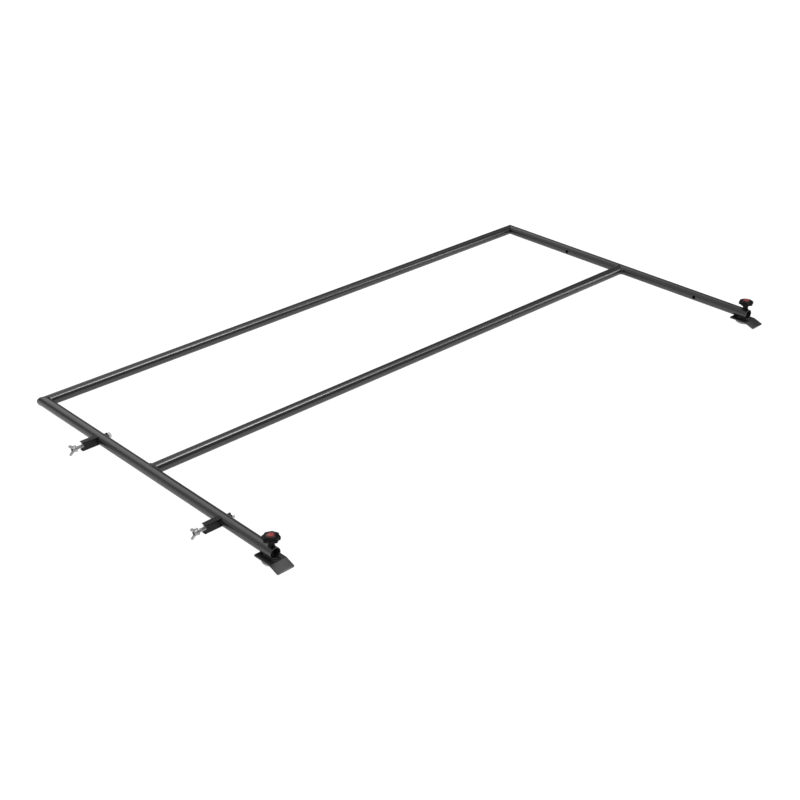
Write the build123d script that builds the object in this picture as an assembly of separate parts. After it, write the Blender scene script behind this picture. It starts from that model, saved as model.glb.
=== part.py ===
"""Ladder rack: a welded tube frame with two screw-clamp feet and two stud clamps on its left rail.

Millimetres. +X runs across the rack to the right, +Y from the feet to the rear crossbar, +Z up.
The origin is the centre of the rack's bounding box, on the plane that its clamp bolts stand on.
Positions along a rail are setbacks: distances from the rear crossbar's axis towards the feet.
"""
from build123d import *
import math
import os

# ---- Driving dimensions ------------------------------------------------------------------
# Welded frame
TUBE_DIAMETER = 26.9
TUBE_WALL = 2.0
RAIL_SPACING = 1645.0       # between the two rails' axes
RAIL_LENGTH = 875.0         # from the rear crossbar's axis to the rails' open ends
FRONT_BAR_SETBACK = RAIL_LENGTH / 2
FIT_UP_GAP = 0.05           # between a coped tube end and the tube that it meets
BEAD_RISE = 1.1             # how far a weld bead stands above the tubes
BEAD_WIDTH = 4.0

# Threads: M6 clamp bolts and M8 studs
THREAD_RADIUS = 3.0
THREAD_CLEARANCE = 0.05     # between a thread and a nut that runs on it
BOLT_HOLE_RADIUS = 3.3
STUD_RADIUS = 4.0
STUD_HOLE_RADIUS = 4.3

# Holes drilled across the rails: the left rail's hold its studs, the right rail's are open
CROSS_HOLE_SETBACKS = {"rear": 242.5, "front": 704.5}
CROSS_HOLE_RADIUS = {"left": STUD_HOLE_RADIUS, "right": 5.0}

# Clamp feet
CLAMP_SETBACK = 863.0
FOOT_WIDTH = 44.0
FOOT_THICKNESS = 3.0
FOOT_REAR_SETBACK = 831.0
FOOT_BEND_SETBACK = 882.0
FOOT_LIP_LENGTH = 27.5
FOOT_LIP_ANGLE = 19.5       # degrees below level
FOOT_CORNER_RADIUS = 3.0
FOOT_BEND_RADIUS = 2.0      # inside the bend
SADDLE_THICKNESS = 1.0      # under the tube's lowest line
SADDLE_WIDTH = 18.0
SADDLE_LENGTH = 40.0
DISC_RADIUS = 22.0
DISC_THICKNESS = 5.0
DISC_EDGE_RADIUS = 3.0
DISC_TOP_RADIUS = 1.0       # keeps the disc's upper edge clear of the plate's bend
DISC_GAP = 1.1              # to the foot plate, clamp shut
BOLT_HEAD_RADIUS = 8.0
BOLT_HEAD_HEIGHT = 3.3
BOLT_NECK_WIDTH = 6.0
BOLT_NECK_LENGTH = 4.0

# Star knob, heights measured from the tube's axis
KNOB_WASHER_RADIUS = 7.5
KNOB_WASHER_TOP = 14.8
KNOB_BASE = 15.0
KNOB_HEAD_BASE = 28.0
KNOB_RIM_TOP = 35.5         # where the domed top meets the lobes' tips
KNOB_HEAD_TOP = 39.7        # the dome's highest point, before the cap's recess
KNOB_RADIUS = 19.7
KNOB_LOBES = 8
KNOB_LOBE_RADIUS = 4.6
KNOB_WEB_RADIUS = 17.6
KNOB_HUB_BASE_RADIUS = 7.0
KNOB_HUB_TOP_RADIUS = 8.5
CAP_RADIUS = 10.5
CAP_SEAT = 37.5             # floor of the cap's recess
CAP_PLUG = 1.0              # the part of the cap that sits in the recess
CAP_RISE = 2.5
INSERT_RADIUS = 4.5
INSERT_LENGTH = 12.0
BOLT_BORE_TOP = 35.9        # blind end of the knob's bore
BOLT_TOP = 35.2             # clamp bolt's tip, clamp shut

# Standoffs and their stud clamps, distances outwards from the left rail's axis
STANDOFF_WIDTH = 14.0       # along the rail
STANDOFF_HEIGHT = 22.0
STANDOFF_CORNER_RADIUS = 2.0
STANDOFF_REACH = 52.0       # the lips of its outer saddle
WASHER_FACE = 65.0          # inner face of the outer washer
WASHER_RADIUS = 8.0
WASHER_THICKNESS = 1.6
WING_NUT_FACE = 66.7
WING_HUB_HEIGHT = 9.0
WING_FLANGE_RADIUS = 7.6
WING_FLANGE_HEIGHT = 1.5
WING_HUB_RADIUS = 6.8
WING_THICKNESS = 2.6
WING_ROOT_RADIUS = 3.4
WING_TIP_RADIUS = 3.6
WING_SPAN = 28.5
WING_REACH = 83.5           # the wing tips' furthest point
STUD_OUTER_END = 72.0      # recessed in the wing nut

# Inner ends of the studs, distances inwards from the left rail's axis
PAD_RADIUS = 7.5
PAD_FACE = 17.0
INNER_WASHER_RADIUS = 8.0
INNER_NUT_FLATS = 13.0
INNER_NUT_HEIGHT = 6.5
STUD_INNER_END = 27.0

# ---- Positions worked out from them ------------------------------------------------------
TUBE_RADIUS = TUBE_DIAMETER / 2
OUTER_SADDLE_AXIS = STANDOFF_REACH + math.sqrt(TUBE_RADIUS**2 - (STANDOFF_HEIGHT / 2) ** 2)
FOOT_TOP = -TUBE_RADIUS - SADDLE_THICKNESS
DISC_TOP = FOOT_TOP - FOOT_THICKNESS - DISC_GAP
HEAD_TOP = DISC_TOP - DISC_THICKNESS
AXIS_HEIGHT = BOLT_HEAD_HEIGHT - HEAD_TOP
LIP_REACH = FOOT_LIP_LENGTH * math.cos(math.radians(FOOT_LIP_ANGLE))
FRONT_SETBACK = FOOT_BEND_SETBACK + LIP_REACH

WIDTH = WING_REACH + RAIL_SPACING + FOOT_WIDTH / 2
REAR_REACH = TUBE_RADIUS + BEAD_RISE
DEPTH = REAR_REACH + FRONT_SETBACK
LEFT_X = WING_REACH - WIDTH / 2
REAR_Y = DEPTH / 2 - REAR_REACH
RAIL_X = {"left": LEFT_X, "right": LEFT_X + RAIL_SPACING}
INWARDS = {"left": 1, "right": -1}
BASE = (Align.CENTER, Align.CENTER, Align.MIN)


# ---- Helpers -----------------------------------------------------------------------------
def at_rail(side, setback, height=0.0):
    """A point on a rail: its side, its setback and its height above the tube's axis."""
    return (RAIL_X[side], REAR_Y - setback, AXIS_HEIGHT + height)


def rod(start, end, radius):
    """A solid round bar between two points."""
    run = Vector(*end) - Vector(*start)
    return Plane(origin=start, z_dir=run) * Cylinder(radius, run.length, align=BASE)


def tube(start, end):
    """A frame tube between two points on its axis."""
    return rod(start, end, TUBE_RADIUS) - rod(start, end, TUBE_RADIUS - TUBE_WALL)


def outwards(setback, distance):
    """A point on a left-rail stud's axis, at a distance outwards from the rail's axis."""
    x, y, z = at_rail("left", setback)
    return (x - distance, y, z)


def stud_plane(setback, distance):
    """A plane across a stud, facing outwards, with its own x along +Y and its own y along -Z."""
    return Plane(origin=outwards(setback, distance), x_dir=(0, 1, 0), z_dir=(-1, 0, 0))


def rail_core(side, radius):
    """A solid bar on a rail's axis, longer than the rail at both ends."""
    x, y, z = at_rail(side, 0)
    return rod((x, y - RAIL_LENGTH - TUBE_DIAMETER, z), (x, y + 2 * TUBE_DIAMETER, z), radius)


def bar_core(setback, radius):
    """A solid bar on a crossbar's axis, longer than the crossbar at both ends."""
    x_left, y, z = at_rail("left", setback)
    x_right = RAIL_X["right"]
    return rod((x_left - 2 * TUBE_DIAMETER, y, z), (x_right + 2 * TUBE_DIAMETER, y, z), radius)


def mitre_plane(side):
    """The 45 degree plane of a rear corner, facing the crossbar and away from the rail."""
    return Plane(origin=at_rail(side, 0), z_dir=(INWARDS[side], 1, 0))


# ---- Welded frame ------------------------------------------------------------------------
def rail(side):
    """A side tube: mitred behind, open in front, cross-drilled twice and drilled for its clamp bolt."""
    x, y, z = at_rail(side, 0)
    body = tube((x, y - RAIL_LENGTH, z), (x, y + 2 * TUBE_DIAMETER, z))
    body = split(body, bisect_by=mitre_plane(side), keep=Keep.BOTTOM)
    for setback in CROSS_HOLE_SETBACKS.values():
        hole_x, hole_y, hole_z = at_rail(side, setback)
        ends = [(hole_x + reach, hole_y, hole_z) for reach in (-TUBE_DIAMETER, TUBE_DIAMETER)]
        body -= rod(*ends, CROSS_HOLE_RADIUS[side])
    bolt_ends = [at_rail(side, CLAMP_SETBACK, height) for height in (-TUBE_DIAMETER, TUBE_DIAMETER)]
    return body - rod(*bolt_ends, BOLT_HOLE_RADIUS)


def crossbar_rear():
    """The rear tube, mitred into both rails."""
    x_left, y, z = at_rail("left", 0)
    body = tube((x_left - 2 * TUBE_DIAMETER, y, z), (RAIL_X["right"] + 2 * TUBE_DIAMETER, y, z))
    for side in RAIL_X:
        body = split(body, bisect_by=mitre_plane(side), keep=Keep.TOP)
    return body


def crossbar_front():
    """The middle tube, coped round both rails."""
    x_left, y, z = at_rail("left", FRONT_BAR_SETBACK)
    body = tube((x_left, y, z), (RAIL_X["right"], y, z))
    for side in RAIL_X:
        body -= rail_core(side, TUBE_RADIUS + FIT_UP_GAP)
    return body.solids().sort_by(SortBy.VOLUME)[-1]


def weld_corner(side):
    """The bead round a mitred corner: a band that follows the seam all the way round."""
    x, y, z = at_rail(side, 0)
    run = 3 * TUBE_DIAMETER
    halves = []
    for radius in (TUBE_RADIUS + BEAD_RISE, TUBE_RADIUS):
        along_rail = rod((x, y - run, z), (x, y + run, z), radius)
        along_bar = rod((x - run, y, z), (x + run, y, z), radius)
        plane = mitre_plane(side)
        halves.append(
            split(along_rail, bisect_by=plane, keep=Keep.BOTTOM)
            + split(along_bar, bisect_by=plane, keep=Keep.TOP)
        )
    outer, inner = halves
    slab = mitre_plane(side) * Box(run, run, BEAD_WIDTH)
    return (outer & slab) - inner


def weld_tee(side):
    """The bead round a coped joint: a collar on the crossbar, against the rail."""
    x, y, z = at_rail("left", FRONT_BAR_SETBACK)
    bead = rod((x, y, z), (x + 2 * TUBE_DIAMETER, y, z), TUBE_RADIUS + BEAD_RISE)
    bead -= bar_core(FRONT_BAR_SETBACK, TUBE_RADIUS + FIT_UP_GAP)
    bead &= rail_core("left", TUBE_RADIUS + BEAD_WIDTH / 2)
    bead -= rail_core("left", TUBE_RADIUS + FIT_UP_GAP)
    if side == "right":
        return mirror(bead, about=Plane.YZ.offset(LEFT_X + RAIL_SPACING / 2))
    return bead


# ---- Clamp feet --------------------------------------------------------------------------
def foot_plate(side):
    """The bent plate that stands on a bed rail, with a lip that slopes down in front."""
    angle = math.radians(FOOT_LIP_ANGLE)
    down = Vector(-math.sin(angle), -math.cos(angle)) * FOOT_THICKNESS
    tip = Vector(FRONT_SETBACK, FOOT_TOP - FOOT_LIP_LENGTH * math.sin(angle))
    inner_bend = FOOT_BEND_SETBACK - FOOT_THICKNESS * math.tan(angle / 2)
    outline = [
        (FOOT_REAR_SETBACK, FOOT_TOP),
        (FOOT_BEND_SETBACK, FOOT_TOP),
        (tip.X, tip.Y),
        (tip.X + down.X, tip.Y + down.Y),
        (inner_bend, FOOT_TOP - FOOT_THICKNESS),
        (FOOT_REAR_SETBACK, FOOT_TOP - FOOT_THICKNESS),
    ]
    points = [(REAR_Y - setback, AXIS_HEIGHT + height) for setback, height in outline]
    middle = Plane.YZ.offset(RAIL_X[side])
    plate = extrude(middle * make_face(Polyline(*points, close=True)), FOOT_WIDTH / 2, both=True)
    corners = plate.edges().filter_by(lambda edge: abs(edge.length - FOOT_THICKNESS) < 0.01)
    plate = fillet(corners, FOOT_CORNER_RADIUS)
    bend_y = REAR_Y - FOOT_BEND_SETBACK
    bends = plate.edges().filter_by(Axis.X).filter_by(lambda edge: abs(edge.center().Y - bend_y) < 2)
    upper, lower = bends.sort_by(Axis.Z)[1], bends.sort_by(Axis.Z)[0]
    plate = fillet(upper, FOOT_BEND_RADIUS + FOOT_THICKNESS)
    lower = plate.edges().filter_by(Axis.X).sort_by_distance(lower.center())[0]
    plate = fillet(lower, FOOT_BEND_RADIUS)
    ends = [at_rail(side, CLAMP_SETBACK, FOOT_TOP + height) for height in (-10, 10)]
    return plate - rod(*ends, BOLT_HOLE_RADIUS)


def saddle(side):
    """The spacer between a rail and its foot plate, hollowed on top to cradle the tube."""
    x, y, z = at_rail(side, CLAMP_SETBACK, FOOT_TOP)
    height = SADDLE_THICKNESS + TUBE_RADIUS / 2
    block = Pos(x, y, z) * Box(SADDLE_WIDTH, SADDLE_LENGTH, height, align=BASE)
    block = fillet(block.edges().filter_by(Axis.Z), FOOT_CORNER_RADIUS)
    block -= rail_core(side, TUBE_RADIUS + FIT_UP_GAP)
    top = at_rail(side, CLAMP_SETBACK)
    return (block - rod((x, y, z), top, BOLT_HOLE_RADIUS)).solids().sort_by(Axis.Z)[0]


def clamp_disc(side):
    """The round lower jaw, with rounded edges and a square hole for the bolt's neck."""
    low = at_rail(side, CLAMP_SETBACK, HEAD_TOP)
    disc = Pos(*low) * Cylinder(DISC_RADIUS, DISC_THICKNESS, align=BASE)
    lower = disc.edges().filter_by(GeomType.CIRCLE).sort_by(Axis.Z)[0]
    disc = fillet(lower, DISC_EDGE_RADIUS)
    upper = disc.edges().filter_by(GeomType.CIRCLE).sort_by(Axis.Z)[-1]
    disc = fillet(upper, DISC_TOP_RADIUS)
    disc -= Pos(*low) * Cylinder(THREAD_RADIUS + THREAD_CLEARANCE, DISC_THICKNESS, align=BASE)
    width = BOLT_NECK_WIDTH + 2 * THREAD_CLEARANCE
    return disc - Pos(*low) * Box(width, width, BOLT_NECK_LENGTH, align=BASE)


def clamp_bolt(side):
    """An M6 coach bolt: a domed head, a square neck and a shank that reaches into the knob."""
    x, y, head_top = at_rail(side, CLAMP_SETBACK, HEAD_TOP)
    ball_radius = (BOLT_HEAD_RADIUS**2 + BOLT_HEAD_HEIGHT**2) / (2 * BOLT_HEAD_HEIGHT)
    ball = Pos(x, y, head_top - BOLT_HEAD_HEIGHT + ball_radius) * Sphere(ball_radius)
    under = Pos(x, y, head_top - BOLT_HEAD_HEIGHT) * Cylinder(
        BOLT_HEAD_RADIUS, BOLT_HEAD_HEIGHT, align=BASE
    )
    head = ball & under
    neck = Pos(x, y, head_top) * Box(BOLT_NECK_WIDTH, BOLT_NECK_WIDTH, BOLT_NECK_LENGTH, align=BASE)
    shank = rod((x, y, head_top), at_rail(side, CLAMP_SETBACK, BOLT_TOP), THREAD_RADIUS)
    return head + neck + shank


def knob_washer(side):
    """The round pad under a knob: flat on top and hollowed below to hug the tube."""
    centre, top = at_rail(side, CLAMP_SETBACK), at_rail(side, CLAMP_SETBACK, KNOB_WASHER_TOP)
    pad = rod(centre, top, KNOB_WASHER_RADIUS) - rod(centre, top, BOLT_HOLE_RADIUS)
    pad -= rail_core(side, TUBE_RADIUS + FIT_UP_GAP)
    return pad.solids().sort_by(Axis.Z)[-1]


def knob(side):
    """The star knob: a domed, lobed head on a tapered hub, bored from below and recessed for its cap."""
    x, y, axis_z = at_rail(side, CLAMP_SETBACK)
    lobe_orbit = KNOB_RADIUS - KNOB_LOBE_RADIUS
    star = Circle(KNOB_WEB_RADIUS)
    for turn in range(KNOB_LOBES):
        angle = math.tau * turn / KNOB_LOBES
        star += Pos(lobe_orbit * math.cos(angle), lobe_orbit * math.sin(angle)) * Circle(KNOB_LOBE_RADIUS)
    head_height = KNOB_HEAD_TOP - KNOB_HEAD_BASE
    head = Pos(x, y, axis_z + KNOB_HEAD_BASE) * extrude(star, head_height)
    dome_rise = KNOB_HEAD_TOP - KNOB_RIM_TOP
    dome_radius = (KNOB_RADIUS**2 + dome_rise**2) / (2 * dome_rise)
    head &= Pos(x, y, axis_z + KNOB_HEAD_TOP - dome_radius) * Sphere(dome_radius)
    hub = Pos(x, y, axis_z + KNOB_BASE) * Cone(
        KNOB_HUB_BASE_RADIUS, KNOB_HUB_TOP_RADIUS, KNOB_HEAD_BASE - KNOB_BASE, align=BASE
    )
    body = head + hub
    body -= Pos(x, y, axis_z + CAP_SEAT) * Cylinder(CAP_RADIUS, KNOB_HEAD_TOP - CAP_SEAT, align=BASE)
    base = (x, y, axis_z + KNOB_BASE)
    body -= rod(base, (x, y, axis_z + BOLT_BORE_TOP), BOLT_HOLE_RADIUS)
    return body - rod(base, (x, y, axis_z + KNOB_BASE + INSERT_LENGTH), INSERT_RADIUS)


def knob_insert(side):
    """The threaded brass bush moulded into the knob's hub."""
    low = at_rail(side, CLAMP_SETBACK, KNOB_BASE)
    high = at_rail(side, CLAMP_SETBACK, KNOB_BASE + INSERT_LENGTH)
    return rod(low, high, INSERT_RADIUS) - rod(low, high, THREAD_RADIUS + THREAD_CLEARANCE)


def knob_cap(side):
    """The domed cap pressed into the recess on top of the knob."""
    x, y, seat_z = at_rail(side, CLAMP_SETBACK, CAP_SEAT)
    plug = Pos(x, y, seat_z) * Cylinder(CAP_RADIUS, CAP_PLUG, align=BASE)
    ball_radius = (CAP_RADIUS**2 + CAP_RISE**2) / (2 * CAP_RISE)
    ball = Pos(x, y, seat_z + CAP_PLUG + CAP_RISE - ball_radius) * Sphere(ball_radius)
    dome = ball & Pos(x, y, seat_z + CAP_PLUG) * Cylinder(CAP_RADIUS, CAP_RISE, align=BASE)
    return plug + dome


# ---- Standoffs and stud clamps -----------------------------------------------------------
def standoff(setback):
    """The block outside the left rail: saddled to the tube, and saddled again at its outer end."""
    x, y, z = outwards(setback, OUTER_SADDLE_AXIS)
    profile = RectangleRounded(STANDOFF_WIDTH, STANDOFF_HEIGHT, STANDOFF_CORNER_RADIUS)
    body = extrude(stud_plane(setback, 0) * profile, STANDOFF_REACH)
    body -= rail_core("left", TUBE_RADIUS + FIT_UP_GAP)
    body -= rod((x, y - STANDOFF_WIDTH, z), (x, y + STANDOFF_WIDTH, z), TUBE_RADIUS)
    body -= rod(outwards(setback, 0), outwards(setback, STANDOFF_REACH), STUD_HOLE_RADIUS)
    return body.solids().sort_by(Axis.X)[0]


def stud(setback):
    """The M8 threaded rod through the rail and its standoff."""
    return rod(outwards(setback, -STUD_INNER_END), outwards(setback, STUD_OUTER_END), STUD_RADIUS)


def outer_washer(setback):
    """The large washer that the wing nut pushes towards the standoff."""
    ends = (outwards(setback, WASHER_FACE), outwards(setback, WASHER_FACE + WASHER_THICKNESS))
    return rod(*ends, WASHER_RADIUS) - rod(*ends, STUD_RADIUS + THREAD_CLEARANCE)


def wing_nut(setback):
    """A wing nut with its two wings upright, swept outwards from the hub."""
    face = outwards(setback, WING_NUT_FACE)
    hub = stud_plane(setback, WING_NUT_FACE) * Cone(
        WING_HUB_RADIUS + 0.4, WING_HUB_RADIUS - 0.4, WING_HUB_HEIGHT, align=BASE
    )
    body = hub + rod(face, outwards(setback, WING_NUT_FACE + WING_FLANGE_HEIGHT), WING_FLANGE_RADIUS)
    x, y, z = outwards(setback, 0)
    for way in (-1, 1):
        root = Pos(-WING_NUT_FACE - WING_HUB_HEIGHT / 2, way * WING_ROOT_RADIUS) * Circle(WING_ROOT_RADIUS)
        tip_height = way * (WING_SPAN / 2 - WING_TIP_RADIUS)
        tip = Pos(WING_TIP_RADIUS - WING_REACH, tip_height) * Circle(WING_TIP_RADIUS)
        ear = make_hull(root.edges() + tip.edges())
        upright = Plane(origin=(x, y, z), x_dir=(1, 0, 0), z_dir=(0, -1, 0))
        body += extrude(upright * ear, WING_THICKNESS / 2, both=True)
    bore = rod(face, outwards(setback, WING_REACH), STUD_RADIUS + THREAD_CLEARANCE)
    return body - bore


def inner_pad(setback):
    """The pad between the rail's inner side and the stud's washer, hollowed to hug the tube."""
    ends = (outwards(setback, 0), outwards(setback, -PAD_FACE))
    pad = rod(*ends, PAD_RADIUS) - rod(*ends, STUD_HOLE_RADIUS)
    pad -= rail_core("left", TUBE_RADIUS + FIT_UP_GAP)
    return pad.solids().sort_by(Axis.X)[-1]


def inner_washer(setback):
    """The small washer under the stud's inner nut."""
    ends = (outwards(setback, -PAD_FACE), outwards(setback, -PAD_FACE - WASHER_THICKNESS))
    return rod(*ends, INNER_WASHER_RADIUS) - rod(*ends, STUD_RADIUS + THREAD_CLEARANCE)


def inner_nut(setback):
    """The hexagon nut on the stud's inner end."""
    seat = PAD_FACE + WASHER_THICKNESS
    plane = Plane(origin=outwards(setback, -seat), x_dir=(0, 1, 0), z_dir=(1, 0, 0))
    hexagon = RegularPolygon(INNER_NUT_FLATS / 2, 6, major_radius=False)
    bore = Circle(STUD_RADIUS + THREAD_CLEARANCE)
    return extrude(plane * (hexagon - bore), INNER_NUT_HEIGHT)


# ---- The assembly ------------------------------------------------------------------------
def build():
    """Every piece of the rack, by name."""
    nodes = {"crossbar_rear": crossbar_rear(), "crossbar_front": crossbar_front()}
    for side in RAIL_X:
        nodes[f"rail_{side}"] = rail(side)
        nodes[f"weld_corner_{side}"] = weld_corner(side)
        nodes[f"weld_tee_{side}"] = weld_tee(side)
        nodes[f"foot_plate_{side}"] = foot_plate(side)
        nodes[f"foot_saddle_{side}"] = saddle(side)
        nodes[f"clamp_disc_{side}"] = clamp_disc(side)
        nodes[f"clamp_bolt_{side}"] = clamp_bolt(side)
        nodes[f"knob_washer_{side}"] = knob_washer(side)
        nodes[f"knob_{side}"] = knob(side)
        nodes[f"knob_insert_{side}"] = knob_insert(side)
        nodes[f"knob_cap_{side}"] = knob_cap(side)
    for place, setback in CROSS_HOLE_SETBACKS.items():
        nodes[f"standoff_{place}"] = standoff(setback)
        nodes[f"stud_{place}"] = stud(setback)
        nodes[f"outer_washer_{place}"] = outer_washer(setback)
        nodes[f"wing_nut_{place}"] = wing_nut(setback)
        nodes[f"inner_pad_{place}"] = inner_pad(setback)
        nodes[f"inner_washer_{place}"] = inner_washer(setback)
        nodes[f"inner_nut_{place}"] = inner_nut(setback)
    return nodes


os.makedirs("parts", exist_ok=True)
for name, piece in build().items():
    export_step(piece, f"parts/{name}.step")
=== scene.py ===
"""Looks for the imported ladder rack: detailed pieces, materials, light and a camera.

Each piece is modelled in millimetres about its own axis and then placed in the row frame,
in metres. Places come from the frame's CAD nodes. The sizes below are the CAD model's own.
"""

import math

import bmesh
import bpy
import numpy as np
from mathutils import Matrix, Vector


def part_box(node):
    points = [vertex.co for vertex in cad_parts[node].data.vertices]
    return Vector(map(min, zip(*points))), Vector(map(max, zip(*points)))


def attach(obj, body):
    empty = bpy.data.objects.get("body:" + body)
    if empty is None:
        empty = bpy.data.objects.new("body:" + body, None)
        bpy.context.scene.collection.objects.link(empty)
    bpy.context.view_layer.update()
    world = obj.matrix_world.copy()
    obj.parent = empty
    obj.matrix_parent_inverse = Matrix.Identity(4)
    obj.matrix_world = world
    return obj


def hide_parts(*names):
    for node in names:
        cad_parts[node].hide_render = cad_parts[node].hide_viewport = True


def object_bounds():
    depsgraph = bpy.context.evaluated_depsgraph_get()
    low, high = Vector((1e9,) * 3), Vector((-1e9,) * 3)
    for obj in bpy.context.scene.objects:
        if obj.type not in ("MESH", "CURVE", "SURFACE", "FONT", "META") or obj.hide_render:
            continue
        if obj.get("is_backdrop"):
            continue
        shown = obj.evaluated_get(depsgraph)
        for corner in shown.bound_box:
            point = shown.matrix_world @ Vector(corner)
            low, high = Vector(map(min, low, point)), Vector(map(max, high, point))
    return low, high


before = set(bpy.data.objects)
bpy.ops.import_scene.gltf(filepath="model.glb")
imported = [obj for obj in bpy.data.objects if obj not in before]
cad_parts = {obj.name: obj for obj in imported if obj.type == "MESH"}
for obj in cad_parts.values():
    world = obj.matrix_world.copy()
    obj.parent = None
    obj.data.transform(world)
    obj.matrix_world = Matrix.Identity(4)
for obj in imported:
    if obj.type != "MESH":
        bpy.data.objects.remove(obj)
cad_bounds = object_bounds()

# ---- Sizes, in millimetres ---------------------------------------------------------------
MM = 0.001
TUBE_R = 13.45
TUBE_WALL = 2.0
FIT_GAP = 0.05
THREAD_R = 3.0              # the clamp bolts' M6 thread
BOLT_PITCH = 1.0
BORE_R = 3.05
BOLT_HOLE_R = 3.3
STUD_R = 4.0                # the studs' M8 thread
STUD_PITCH = 1.25
STUD_BORE_R = 4.05
STUD_HOLE_R = 4.3
RAIL_HOLE_R = 5.0

# At a clamp, heights are from the tube's axis.
SADDLE_HALF_WIDTH = 9.0
SADDLE_HALF_LENGTH = 20.0
SADDLE_CORNER = 3.0
FOOT_WIDTH = 44.0
FOOT_THICKNESS = 3.0
FOOT_TOP = -14.45
FOOT_ANGLE = math.radians(19.5)
FOOT_LIP = 27.5
FOOT_BEND_RADIUS = 3.5      # at the middle of the plate's thickness
HEAD_TOP = -23.55           # underside of the clamp disc
HEAD_R = 8.0
HEAD_HEIGHT = 3.3
NECK_HALF_WIDTH = 3.0
DISC_THICKNESS = 5.0
DISC_R = 22.0
JAW_TRAVEL = 12.0
BOLT_TOP = 35.2
KNOB_SEAT = 14.8            # top of the washer under the knob
KNOB_SEAT_R = 7.5
KNOB_BASE = 15.0
KNOB_HEAD_BASE = 28.0
KNOB_RIM_TOP = 35.5
KNOB_HEAD_TOP = 39.7
KNOB_R = 19.7
BUSH_R = 4.45
BUSH_LENGTH = 12.0
CAP_R = 10.5
CAP_SEAT = 37.5
CAP_RIM = 38.5
CAP_RISE = 2.46
# The cap's brighter centre, partly a painted highlight.
CAP_CENTRE_R = 6.4

# Along a stud, distances are from the rail's axis, outwards.
STANDOFF_HALF_WIDTH = 7.0
STANDOFF_HALF_HEIGHT = 11.0
STANDOFF_CORNER = 2.0
STANDOFF_REACH = 52.0
WASHER_FACE = 65.0
WASHER_THICKNESS = 1.6
WASHER_R = 8.0
WING_FACE = 66.7
WING_REACH = 83.5
STUD_ENDS = (-27.0, 72.0)
PAD_FACE = 17.0
PAD_R = 7.5
NUT_FLATS = 13.0
NUT_HEIGHT = 6.5

SIDES = ("left", "right")
PLACES = ("rear", "front")
INWARDS = {"left": 1, "right": -1}
ROUND = 96                  # points round a turned piece
MERGE_DISTANCE = 1e-4


# ---- Places in the row frame -------------------------------------------------------------
def middle(node):
    """The centre of a CAD node's box."""
    low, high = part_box(node)
    return (low + high) / 2


AXIS_Z = middle("crossbar_rear").z
REAR_Y = middle("crossbar_rear").y
FRONT_BAR_Y = middle("crossbar_front").y
RAIL_X = {side: middle(f"rail_{side}").x for side in SIDES}
CLAMP_Y = middle("clamp_disc_left").y
STUD_Y = {place: middle(f"stud_{place}").y for place in PLACES}
RAIL_END = (REAR_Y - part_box("rail_left")[0].y) / MM
SPACING = (RAIL_X["right"] - RAIL_X["left"]) / MM


def placed(origin, x_dir=(1, 0, 0), z_dir=(0, 0, 1)):
    """The matrix from a piece's own millimetres to the row frame's metres."""
    x, z = Vector(x_dir), Vector(z_dir)
    axes = Matrix((x, z.cross(x), z)).transposed().to_4x4()
    return Matrix.Translation(origin) @ axes @ Matrix.Scale(MM, 4)


def along_rail(side):
    """Local z runs from the rear crossbar's axis towards the rail's open end; local y is up."""
    return placed((RAIL_X[side], REAR_Y, AXIS_Z), (1, 0, 0), (0, -1, 0))


def along_bar(y):
    """Local z runs from the left rail's axis to the right, x towards the rear, and y up."""
    return placed((RAIL_X["left"], y, AXIS_Z), (0, 1, 0), (1, 0, 0))


def at_clamp(side):
    """Local z is up from the tube's axis, on the clamp bolt's axis."""
    return placed((RAIL_X[side], CLAMP_Y, AXIS_Z))


def at_stud(place):
    """Local z runs outwards from the left rail's axis along a stud; local y is down."""
    return placed((RAIL_X["left"], STUD_Y[place], AXIS_Z), (0, 1, 0), (-1, 0, 0))


# ---- Mesh tools --------------------------------------------------------------------------
def turn_angles(count=ROUND):
    return np.arange(count) * math.tau / count


def loop(radius, z, count=ROUND):
    """A closed loop of points. radius and z are numbers, or arrays with a value for each angle."""
    angles = turn_angles(count)
    height = np.zeros(count) + z
    return np.stack([radius * np.cos(angles), radius * np.sin(angles), height], 1)


def skin(rows, wrap=True, caps=True, wear_and_shade=None):
    """A mesh over rows of points, each row a closed loop. wrap joins the last row to the first.

    The last argument, one value for each row, fills the vertex layer that the materials read: edge
    wear, painted shade in a bore, or the cap's brighter centre, partly a painted highlight.
    """
    bm = bmesh.new()
    layer = bm.verts.layers.float.new("wear_and_shade")
    grid = [[bm.verts.new(point) for point in row] for row in rows]
    for row, amount in zip(grid, wear_and_shade or []):
        for vert in row:
            vert[layer] = amount
    following = grid[1:] + grid[:1] if wrap else grid[1:]
    for lower, upper in zip(grid, following):
        for k in range(len(lower)):
            bm.faces.new((lower[k - 1], lower[k], upper[k], upper[k - 1]))
    if caps and not wrap:
        bm.faces.new(grid[0][::-1])
        bm.faces.new(grid[-1])
    bmesh.ops.remove_doubles(bm, verts=bm.verts, dist=MERGE_DISTANCE)
    bmesh.ops.recalc_face_normals(bm, faces=bm.faces)
    return bm


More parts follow.
